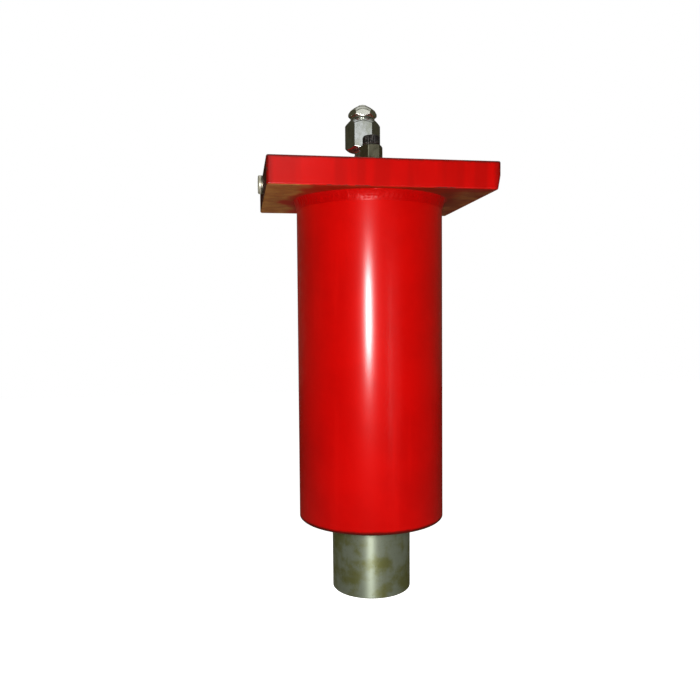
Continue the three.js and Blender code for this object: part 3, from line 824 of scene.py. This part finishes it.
def flange_plate():
    plate = plate_blank()
    at = Matrix.Translation
    cutters = [
        hole_cutter(TAP_DRILL_R, TAPPED_DEPTH, 1.2, at((x, y, TOP_Z)), pitch=TAPPED_PITCH, tip=3)
        for x, y in TAPPED_HOLES
    ]
    top_ports = (
        (COUPLER_AT, COUPLER_SPOT_R, COUPLER_THREAD_R + GAP),
        (BLEED_AT, BLEED_SPOT_R, BLEED_THREAD_R + GAP),
    )
    for spot, spot_r, bore_r in top_ports:
        cutters.append(hole_cutter(spot_r, TOP_Z - SEAT_Z, 0.1, at((*spot, TOP_Z))))
        cutters.append(hole_cutter(bore_r, PORT_DEPTH, 0.6, at((*spot, SEAT_Z))))
    side = outwards_from(SIDE_FACE_X, SIDE_PORT.y, SIDE_PORT.z, "Y")
    cutters.append(hole_cutter(PLUG_THREAD_R + 2 * GAP, SIDE_PORT_DEPTH, 0.6, side))
    shoulder, roof = UNDER_Z + SOCKET_DEPTH, UNDER_Z + CHAMBER_DEPTH
    socket = [
        (0, roof), (CHAMBER_R, roof), (CHAMBER_R, shoulder), (SOCKET_R, shoulder),
        (SOCKET_R, UNDER_Z - 2), (0, UNDER_Z - 2),
    ]
    cutters.append(turned_cutter(socket, 160))
    dressed(carved(plate, cutters), "flange_plate", "plate")


def weld_bead():
    """Overlapping ripples round the joint, each lapping over the last, a little uneven."""
    pitch = 2 * pi * BARREL_R / round(2 * pi * BARREL_R / RIPPLE_PITCH)
    low = WELD_LOW_Z
    outer = [(-0.6, -0.4), (0.05, -0.8), (0.35, 0.6), (0.8, 2.6), (1.35, 4.8), (2.1, 7.0)]
    face = [
        (SOCKET_R, UNDER_Z - 1.4),
        *[(BARREL_R + out, low + up) for out, up in outer],
        (BARREL_R + 3.0, UNDER_Z + 0.3),
        (SOCKET_R, UNDER_Z + 0.4),
    ]
    profile = rounded(face, 0, step=0.9)
    middle, half = (low + UNDER_Z) / 2, (UNDER_Z - low) / 2

    def ripple(r, z, angle):
        if r < BARREL_R - 0.1 or z > UNDER_Z:
            return r, z
        across = (z - middle) / half
        arc = angle * BARREL_R / pitch + 0.42 * across * across
        lap = arc % 1.0
        scallop = 0.14 * (lap**0.6 - 0.75)
        spot = Vector((cos(angle) * 7, sin(angle) * 7, z * 0.08))
        lumps = 0.40 * noise.noise(spot) + 0.15 * noise.noise(spot * 3.1)
        fade = max(0.0, 1.0 - max(0.0, -across - 0.75) / 0.35) * min(1.0, (r - BARREL_R + 0.1) / 0.7)
        sag = 0.7 * noise.noise(Vector((cos(angle) * 3, sin(angle) * 3, 4.0)))
        return r + (scallop + lumps) * fade, z + (sag if across < -0.3 else 0.0) * fade

    bead = turned(fine("barrel_weld"), profile, 960, ripple, sharp=60)
    dressed(bead, "barrel_weld", "weld")


def glanded_tube(outer, bore, thread_r, z0, z1, top, rim):
    """A tube whose lower end is counterbored for a gland. top lists its upper outside corners."""
    seat = z0 + GLAND_HEIGHT + GAP
    return [
        (outer - rim, z0, 0.4), (outer, z0 + rim, 0.8),
        *top,
        (bore, z1, 0.5), (bore, seat + 1), (bore + 1, seat),
        (thread_r + GAP, seat), (thread_r + GAP, z0 + 1), (thread_r + GAP + 0.8, z0),
    ]


def barrel_tube():
    low, high = BARREL_LOW.z, BARREL_HIGH.z
    top = [
        (BARREL_R, UNDER_Z - WELD_BEVEL[0]), (SPIGOT_R, UNDER_Z - WELD_BEVEL[1]), (SPIGOT_R, high),
    ]
    profile = glanded_tube(BARREL_R, BARREL_BORE_R, BARREL_THREAD_R, low, high, top, 1.2)
    tube = turned(fine("barrel_tube"), rounded(profile, 0.4, step=40), 224)
    mouth = outwards_from(*LOCK_SCREW_AT, "X")
    hole = hole_cutter(LOCK_HOLE_R, LOCK_HOLE_DEPTH, 0.5, mouth, chamfer_depth=0.4)
    dressed(carved(tube, [hole]), "barrel_tube", "barrel")


def lock_screw():
    """A grub screw with a 4 mm socket, just under the surface."""
    radius = LOCK_SCREW_R
    profile = [
        (0, -9.5), (2.5, -9.5), (radius, -8.1), (radius, -1.6), (3.4, -1), (2.5, -1),
        (2.2, -1.35), (2.2, -5), (0, -5.8),
    ]
    spun(
        "gland_lock_screw", "lock_black", profile, 0.12, closed=False, columns=96,
        warp=hex_socket(4, 2.4, -5.9), where=outwards_from(*LOCK_SCREW_AT, "X"),
    )


# ---------- glands, seals and sliding pieces


def gland(node, rod_r, thread_r, z0):
    bore, lip = rod_r + 0.5, rod_r + 2.5
    inside = []
    for high, low, depth in (GUIDE_GROOVE, ROD_SEAL_GROOVE, WIPER_GROOVE):
        inside += groove(bore, rod_r + depth, high, low)
    high, low, depth = O_RING_GROOVE
    profile = [
        (thread_r - 0.8, 0), (thread_r, 0.8),
        *thread(thread_r - 0.9, thread_r, 2.5, 26, 2.0),
        (thread_r, 27.5), *groove(thread_r, thread_r - depth, low, high),
        (thread_r, GLAND_HEIGHT), (bore, GLAND_HEIGHT), *inside[:-1],
        (lip, WIPER_GROOVE[1]), (lip, 0),
    ]
    ring = turned(fine(node), rounded(shifted(profile, 0, z0), 0.2, arc_steps=2), 128)
    middle = (rod_r + GUIDE_GROOVE[2] + thread_r) / 2
    down = Matrix.Rotation(pi, 4, "X")
    pin_holes = [
        hole_cutter(PIN_HOLE_R, PIN_HOLE_DEPTH, 0.3, Matrix.Translation((side * middle, 0, z0)) @ down)
        for side in (-1, 1)
    ]
    dressed(carved(ring, pin_holes), node, "gland")


# Outlines of the seals, out from the rod's surface and up from the gland's lower face
SEALS = {
    ("wiper", "polyurethane"): [
        (0.2, 1.3, 0.1), (0.9, 1.1), (2.2, 4.75), (4.75, 4.75), (4.75, 9.75), (1.1, 9.75), (0.7, 6),
    ],
    ("rod_seal", "nitrile"): [
        (0.3, 16.25), (5.25, 16.25), (5.25, 22), (4.6, 23.75),
        (2.75, 19.5, 0.8), (0.9, 23.75), (0.25, 22),
    ],
    ("guide_ring", "phenolic"): [(0.25, 28.25), (2.75, 28.25), (2.75, 37.75), (0.25, 37.75)],
}


def seal_set(prefix, rod_r, thread_r, z0):
    for (kind, look), profile in SEALS.items():
        spun(f"{prefix}_{kind}", look, shifted(profile, rod_r, z0), 0.3)
    middle_z = z0 + (O_RING_GROOVE[0] + O_RING_GROOVE[1]) / 2
    section = circle(thread_r - 1.375, middle_z, O_RING_WIRE_R, 16)
    spun(f"{prefix}_gland_o_ring", "nitrile", section, 0)


def snap_grooves(rod_r, lower_z):
    points = []
    for z in (lower_z, UPPER_SNAP_Z):
        points += groove(rod_r, rod_r - SNAP_GROOVE_DEPTH, z - GAP, z + SNAP_THICK + GAP)
    return points


def snap_ring(node, rod_r, z):
    """An open ring of rounded section, its 10 mm gap at the back."""
    outer = corners(node)[1].x
    inner = rod_r - SNAP_GROOVE_DEPTH + GAP
    top = z + SNAP_THICK
    section = rounded([(inner, z), (outer, z), (outer, top), (inner, top)], 0.25)
    half_gap, steps = asin(5 / outer), 150
    sweep = 2 * (pi - half_gap)
    angles = [pi / 2 + half_gap + sweep * i / steps for i in range(steps + 1)]
    dressed(lofted(fine(node), [swung(section, a) for a in angles]), node, "spring")


def piston_end(prefix, rod_r, bore_r, lower_z):
    """The bearing and wear ring at a rod's upper end, held between two snap rings."""
    z0 = lower_z + SNAP_THICK + 2 * GAP
    inner, outer = rod_r + GAP, bore_r - 2 * GAP
    low, high = z0 + 11, z0 + 23
    bearing = [
        (inner, z0), (outer - 1, z0), (outer, z0 + 1),
        *groove(outer, outer - 1.75, low, high),
        (outer, BEARING_TOP_Z), (inner, BEARING_TOP_Z),
    ]
    band = [(bore_r - 2, low + GAP), (bore_r - GAP, low + GAP)]
    band += [(r, high - GAP) for r, _ in reversed(band)]
    spun(f"{prefix}_bearing", "bronze", bearing, 0.3)
    spun(f"{prefix}_wear_ring", "phenolic", band, 0.2)
    snap_ring(f"{prefix}_lower_snap_ring", rod_r, lower_z)
    snap_ring(f"{prefix}_upper_snap_ring", rod_r, UPPER_SNAP_Z)


def stage_tube():
    low, high = STAGE_LOW.z, STAGE_HIGH.z
    top = [*snap_grooves(STAGE_R, STAGE_SNAP_Z), (STAGE_R, high - 1), (STAGE_R - 1, high)]
    profile = glanded_tube(STAGE_R, STAGE_BORE_R, STAGE_THREAD_R, low, high, top, 1.0)
    spun("stage_one_tube", "stage", profile, step=40, columns=192)


def ram():
    profile = [
        (0, 0), (RAM_R - RAM_CHAMFER, 0, 0.4), (RAM_R, RAM_CHAMFER, 0.6),
        *snap_grooves(RAM_R, PLUNGER_SNAP_Z),
        (RAM_R, RAM_HIGH.z - 1.5), (RAM_R - 1.5, RAM_HIGH.z), (0, RAM_HIGH.z),
    ]
    spun("plunger", "ram", profile, closed=False, step=20, columns=192)


# ---------- fittings


def on_seat(at):
    """The frame of a top fitting, with its origin on the spot face it sits on."""
    return Matrix.Translation((*at, SEAT_Z))


def seal_washer(node, inner, outer, look, where):
    """A bonded washer: a metal ring with a raised lip round its bore."""
    profile = [
        (inner - 0.1, GAP + 0.5), (inner + 0.6, GAP - 0.1), (inner + 1.1, GAP),
        (outer, GAP), (outer, GAP + 1.75), (inner + 1.1, GAP + 1.75), (inner + 0.6, GAP + 1.85),
        (inner - 0.1, GAP + 1.3),
    ]
    spun(node, look, profile, 0.2, columns=96, where=where)


def coupler_adapter(columns, where):
    profile = [
        (3.5, -11), (5.6, -11), *thread(5.9, COUPLER_THREAD_R, -10.3, -1.5, PIPE_PITCH),
        (5.9, 1.2), (COUPLER_THREAD_R, 2.25),
        (10.5, 2.25, 0.1), (12.9, 3.5, 0.1), (12.9, 16.7, 0.1), (10.5, 18, 0.1), (8.5, 18, 0.5),
        (8.5, 22.4), (7.9, 22.9), (7.9, 25.0), (8.5, 25.5), (8.5, 27.1),
        (8.2, 27.3), (8.2, 37.75), (3.5, 37.75),
    ]
    flats = hexagonal(ADAPTER_HEX, COUPLER_HEX_TURN)
    spun("coupler_adapter", "coupler", profile, step=0.7, columns=columns, warp=flats, where=where)


def coupler_body(columns, where):
    """The large hexagon, and above it the collar, which has a smaller one."""
    profile = [
        (8.6, 27.5), (14.2, 27.5, 0.2), (17.6, 29.6, 0.2), (17.6, 50.8, 0.5), (11.9, 57.0, 0.7),
        (11.6, 58.9, 0.6), (14.3, 60.7, 0.4), (14.3, 62.7, 0.5), (12.3, 65.5, 1.2), (8.9, 68.2, 1.6),
        (6.4, 69.7, 0.4), (5.75, 69.3), (5.75, 56.25), (8, 54), (8, 38), (8.6, 38),
    ]

    def flats(r, z, angle):
        across = COLLAR_HEX if z > COLLAR_FROM else COUPLER_HEX
        return hexagonal(across, COUPLER_HEX_TURN)(r, z, angle)

    spun("coupler_body", "coupler", profile, step=0.5, columns=columns, warp=flats, where=where)


def coupler_poppet(where):
    tip = POPPET_TIP
    profile = [
        (0, 35.75), (1.6, 35.75), (2, 36.15), (2, 49.75), (7.5, 49.75), (7.5, 54.125),
        (5.25, 56.375), (5.25, tip - 1.9, 0.5), (4.0, tip - 0.8, 1.5), (1.7, tip, 1.5), (0, tip),
    ]
    spun("coupler_poppet", "coupler", profile, closed=False, columns=96, where=where)


def coupler_spring_seat(where):
    """A disc that guides the poppet's stem, with three holes for the oil."""
    inner, outer, low, high = 2.5, 7.75, 38.25, 40.5
    section = rounded([(inner, low), (outer, low), (outer, high), (inner, high)], 0.2)
    seat = turned(fine("coupler_spring_seat"), section, 96, where=where)
    circle_r = 5.1
    holes = []
    for degrees in (90, 210, 330):
        angle = radians(degrees)
        spot = Matrix.Translation((circle_r * cos(angle), circle_r * sin(angle), high))
        holes.append(hole_cutter(1.5, 4, 0.2, where @ spot))
    dressed(carved(seat, holes), "coupler_spring_seat", "coupler_zinc")


def coupler():
    columns, where = hex_columns(COUPLER_HEX_TURN), on_seat(COUPLER_AT)
    seal_washer("coupler_seal_washer", 7, 11, "coupler_zinc", where)
    coupler_adapter(columns, where)
    coupler_body(columns, where)
    coupler_poppet(where)
    coupler_spring_seat(where)
    coil_spring(COUPLER_AT)


def coil_spring(at):
    """Round wire, which the poppet's joint squashes."""
    low, high = corners("coupler_spring")
    wire, turns, per_turn = 0.55, 4, 40
    coil_r = (high.x - low.x) / 2 - wire
    z0, z1 = low.z + wire, high.z - wire
    total = turns * per_turn
    outlines = []
    for i in range(total + 1):
        section = circle(coil_r, z0 + (z1 - z0) * i / total, wire, 12)
        outlines.append(swung(section, 2 * pi * i / per_turn, at))
    coil = lofted(fine("coupler_spring"), outlines)
    spring = dressed(coil, "coupler_spring", "spring")
    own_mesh(spring)


def bleed_valve():
    where = on_seat(BLEED_AT)
    seal_washer("bleed_seal_washer", 5.5, 9, "bleed_zinc", where)
    body = [
        (1.25, -11), (4.2, -11), *thread(4.45, BLEED_THREAD_R, -10.4, -1.5, 1.0),
        (4.45, 1.2), (BLEED_THREAD_R, 2.25),
        (9.1, 2.25, 0.1), (11.2, 3.5, 0.1), (11.2, 23.6, 0.1), (9.1, 24.75, 0.1),
        (3.9, 24.75), (3.25, 24.2), (3.25, 10), (1.25, 8),
    ]
    spun(
        "bleed_valve_body", "bleed", body, step=0.6, columns=hex_columns(BLEED_HEX_TURN),
        warp=hexagonal(BLEED_HEX, BLEED_HEX_TURN), where=where,
    )
    teeth, knurl_depth, knurl_width, head_z = 20, 0.45, 1.2, 25.25
    head_r, top = SCREW_HEAD_R, SCREW_TOP
    profile = [
        (0, 8.125), (1, 8.125), (3, 10.125), (3, 24.4), (3.6, head_z - 0.2, 0.1),
        (5.4, head_z - 0.1), (head_r - 0.9, head_z + 0.1), (head_r, head_z + 1.3, 0.3),
        (head_r, top - 1.3, 0.3), (head_r - 1.1, top - 0.1, 0.4), (0, top),
    ]

    def knurl(r, z, angle):
        deep = knurl_depth * max(0.0, (r - head_r + knurl_width) / knurl_width)
        wave = 0.5 - 0.5 * cos(angle * teeth)
        return r - deep * wave**1.5, z

    outline = rounded(profile, 0.25, closed=False, step=1.2)
    screw = turned(fine("bleed_screw"), outline, teeth * 10, knurl, where, sharp=50)
    half, deep = 0.875, 2
    slot = box_cutter((-9, -half, top - deep), (9, half, top + deep), 0.15, where)
    dressed(carved(screw, [slot], sharp=50), "bleed_screw", "bleed_black")


def side_plug():
    where = outwards_from(SIDE_FACE_X, SIDE_PORT.y, SIDE_PORT.z, "Y")
    inner, outer, top = 6.75, 8.7, GAP + 1.25
    washer = [(inner, GAP), (outer, GAP), (outer, top), (inner, top)]
    spun("side_plug_washer", "side_washer", washer, 0.3, columns=96, where=where)
    plug = [
        (0, -11), (5.6, -11), *thread(5.7, PLUG_THREAD_R, -10.4, -0.8, PIPE_PITCH),
        (5.8, 1.2), (PLUG_THREAD_R, 1.75),
        (8.7, 1.75), (8.7, 3.6, 0.5), (7.8, 4.5, 0.5), (4.0, 4.5, 0.2), (3.5, 4.0, 0.1),
        (3.5, -1.0, 0.1), (0, -2.2),
    ]
    spun(
        "side_plug", "side", plug, 0.2, closed=False, columns=hex_columns(0),
        warp=hex_socket(6, 3.75, -1.4), where=where,
    )


flange_plate()
weld_bead()
barrel_tube()
lock_screw()
gland("barrel_gland", STAGE_R, BARREL_THREAD_R, BARREL_LOW.z)
gland("stage_one_gland", RAM_R, STAGE_THREAD_R, STAGE_LOW.z)
seal_set("barrel", STAGE_R, BARREL_THREAD_R, BARREL_LOW.z)
seal_set("stage_one", RAM_R, STAGE_THREAD_R, STAGE_LOW.z)
piston_end("stage_one", STAGE_R, BARREL_BORE_R, STAGE_SNAP_Z)
piston_end("plunger", RAM_R, STAGE_BORE_R, PLUNGER_SNAP_Z)
stage_tube()
ram()
coupler()
bleed_valve()
side_plug()

# ---------- floor, light and camera


ROOM_LIGHT = 0.055  # strength of the dim, warm room that the metals reflect
ROOM_TINT = (1.0, 0.92, 0.55, 1.0)
FLOOR_WHITES = (0.80, 0.80, 0.79), (0.84, 0.84, 0.83)
FLOOR_REFLECTED = (0.16, 0.15, 0.10)  # the floor as the metals see it
FLOOR_CLEARANCE = 6  # mm, below the ram at full stroke
FLOOR_HALF = 6000


def pale_floor():
    """A floor low enough for both stages to run out above it, plain white to the camera."""
    look = Look("floor", Roughness=0.9, Specular_IOR_Level=0.1)
    shade = look.noise(3, 2)
    tone = look.mix(look.span(shade, 0.3, 0.7), *FLOOR_WHITES)
    path = look.node("ShaderNodeLightPath").outputs
    tone = look.mix(path["Is Glossy Ray"], tone, FLOOR_REFLECTED)
    look.use(Base_Color=tone, Emission_Strength=path["Is Camera Ray"])
    look.shader.inputs["Emission Color"].default_value = (1, 1, 1, 1)
    strokes = sum(JOINTS[name]["range_m"][1] for name in ("stage_one_slide", "plunger_slide"))
    half, level = FLOOR_HALF, RAM_LOW.z - strokes / MM - FLOOR_CLEARANCE
    edge = [(-half, -half, level), (half, -half, level), (half, half, level), (-half, half, level)]
    floor = mesh_object("floor", edge, [(0, 1, 2, 3)])
    floor.data.materials.append(look.material)


def soft_world():
    """White where the camera looks past the object, and a softer light from all round."""
    world = bpy.data.worlds.new("studio")
    bpy.context.scene.world = world
    world.use_nodes = True
    tree = world.node_tree
    tree.nodes.clear()
    seen = tree.nodes.new("ShaderNodeBackground")
    lit = tree.nodes.new("ShaderNodeBackground")
    seen.inputs["Color"].default_value = (1, 1, 1, 1)
    lit.inputs["Color"].default_value = ROOM_TINT
    lit.inputs["Strength"].default_value = ROOM_LIGHT
    path = tree.nodes.new("ShaderNodeLightPath")
    choose = tree.nodes.new("ShaderNodeMixShader")
    out = tree.nodes.new("ShaderNodeOutputWorld")
    tree.links.new(path.outputs["Is Camera Ray"], choose.inputs[0])
    tree.links.new(lit.outputs[0], choose.inputs[1])
    tree.links.new(seen.outputs[0], choose.inputs[2])
    tree.links.new(choose.outputs[0], out.inputs["Surface"])


def aim(thing, at, ahead, roll=0.0):
    """Puts a light or a camera at a place, looking ahead and rolled by some degrees."""
    turned_by = Matrix.Rotation(radians(roll), 3, "Z").to_quaternion()
    thing.location = at
    thing.rotation_mode = "QUATERNION"
    thing.rotation_quaternion = ahead.to_track_quat("-Z", "Y") @ turned_by


def area_light(name, at, target, size, watts, glossy=True):
    """A rectangular light in metres, which the camera can't see."""
    data = bpy.data.lights.new(name, "AREA")
    data.shape = "RECTANGLE"
    data.size, data.size_y = size
    data.energy = watts
    light = placed(name, data)
    aim(light, Vector(at), Vector(target) - Vector(at))
    light.visible_camera = False
    light.visible_glossy = glossy


CAMERA_AT = Vector((-0.1267, -0.6593, 0.2623))
LOOK_TURN, LOOK_DOWN, LOOK_ROLL = 9.21, 2.57, -0.44  # degrees
SENSOR, LENS = 36, 35.3453143  # mm


def camera():
    """Stands where the photo was taken from."""
    data = bpy.data.cameras.new("camera")
    data.sensor_width, data.lens = SENSOR, LENS
    data.clip_start, data.clip_end = 0.02, 50
    turn, down = radians(LOOK_TURN), radians(LOOK_DOWN)
    level = cos(down)
    ahead = Vector((sin(turn) * level, cos(turn) * level, -sin(down)))
    view = placed("camera", data)
    aim(view, CAMERA_AT, ahead, LOOK_ROLL)
    bpy.context.scene.camera = view


pale_floor()
soft_world()
camera()
area_light("front", CAMERA_AT + Vector((-0.03, -0.05, 0.008)), (0, 0, 0.25), (0.085, 0.15), 3.9)
area_light("high_front", (-0.17, -1.15, 0.78), (0, 0, 0.40), (0.5, 0.35), 0.42)
area_light("faint_right", (0.40, -1.13, 0.16), (0, 0, 0.22), (0.05, 0.38), 0.10)
area_light("right_fill", (0.40, -1.0, 0.20), (0, 0, 0.25), (0.4, 0.4), 1.1, glossy=False)
area_light("overhead", (0.1, 0.2, 1.9), (0, 0, 0.3), (1.6, 1.6), 4.0)
area_light("top_fill", (0, 0.5, 1.7), (0, 0, 0.4), (0.9, 0.9), 5.0, glossy=False)
area_light("back_left_fill", (-0.5, 1.3, 0.45), (0, 0, 0.25), (0.8, 0.8), 8.0, glossy=False)
area_light("back_right_fill", (0.6, 1.25, 0.45), (0, 0, 0.25), (0.8, 0.8), 8.0, glossy=False)
bpy.context.scene.view_settings.view_transform = "Standard"
